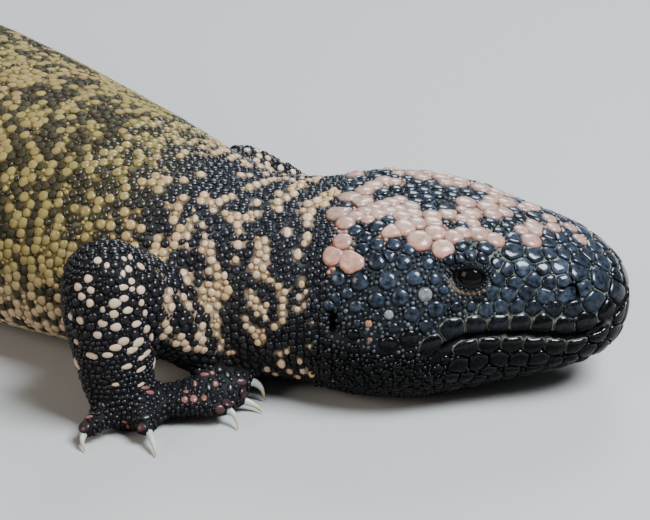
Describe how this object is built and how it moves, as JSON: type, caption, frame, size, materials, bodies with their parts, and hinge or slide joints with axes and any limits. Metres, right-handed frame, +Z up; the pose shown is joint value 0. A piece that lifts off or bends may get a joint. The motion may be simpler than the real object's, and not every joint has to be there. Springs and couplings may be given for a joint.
{
  "type": "gila monster",
  "caption": "Life-size still gila monster lizard at rest on its belly, head turned left, covered in beads in black and pink-cream bands.",
  "frame": {"origin": "middle of the bounding box on the floor that the animal lies on", "axes": "+X roughly from tail to head, +Y to the animal's left, +Z up; the head turns about 29 degrees from +X towards +Y"},
  "size_m": [0.3798, 0.1852, 0.0482],
  "materials": {
    "head_skin": "glossy black scales with pink patches",
    "body_skin": "satin beads in black and pink-cream",
    "limb_skin": "satin black scales with pale spots",
    "claw_horn": "smooth pale horn",
    "eye_dark": "wet black"
  },
  "bodies": {
    "root": {"eye_left": "eye_dark", "eye_right": "eye_dark", "foreleg_left_claw_1": "claw_horn", "foreleg_left_claw_2": "claw_horn", "foreleg_left_claw_3": "claw_horn", "foreleg_left_claw_4": "claw_horn", "foreleg_left_claw_5": "claw_horn", "foreleg_left_foot": "limb_skin", "foreleg_left_lower": "limb_skin", "foreleg_left_upper": "limb_skin", "foreleg_right_claw_1": "claw_horn", "foreleg_right_claw_2": "claw_horn", "foreleg_right_claw_3": "claw_horn", "foreleg_right_claw_4": "claw_horn", "foreleg_right_claw_5": "claw_horn", "foreleg_right_foot": "limb_skin", "foreleg_right_lower": "limb_skin", "foreleg_right_upper": "limb_skin", "head": "head_skin", "hindleg_left_claw_1": "claw_horn", "hindleg_left_claw_2": "claw_horn", "hindleg_left_claw_3": "claw_horn", "hindleg_left_claw_4": "claw_horn", "hindleg_left_claw_5": "claw_horn", "hindleg_left_foot": "limb_skin", "hindleg_left_lower": "limb_skin", "hindleg_left_upper": "limb_skin", "hindleg_right_claw_1": "claw_horn", "hindleg_right_claw_2": "claw_horn", "hindleg_right_claw_3": "claw_horn", "hindleg_right_claw_4": "claw_horn", "hindleg_right_claw_5": "claw_horn", "hindleg_right_foot": "limb_skin", "hindleg_right_lower": "limb_skin", "hindleg_right_upper": "limb_skin", "lower_jaw": "head_skin", "neck": "body_skin", "tail_middle": "body_skin", "tail_root": "body_skin", "tail_tip": "body_skin", "trunk_front": "body_skin", "trunk_rear": "body_skin"}
  },
  "joints": []
}
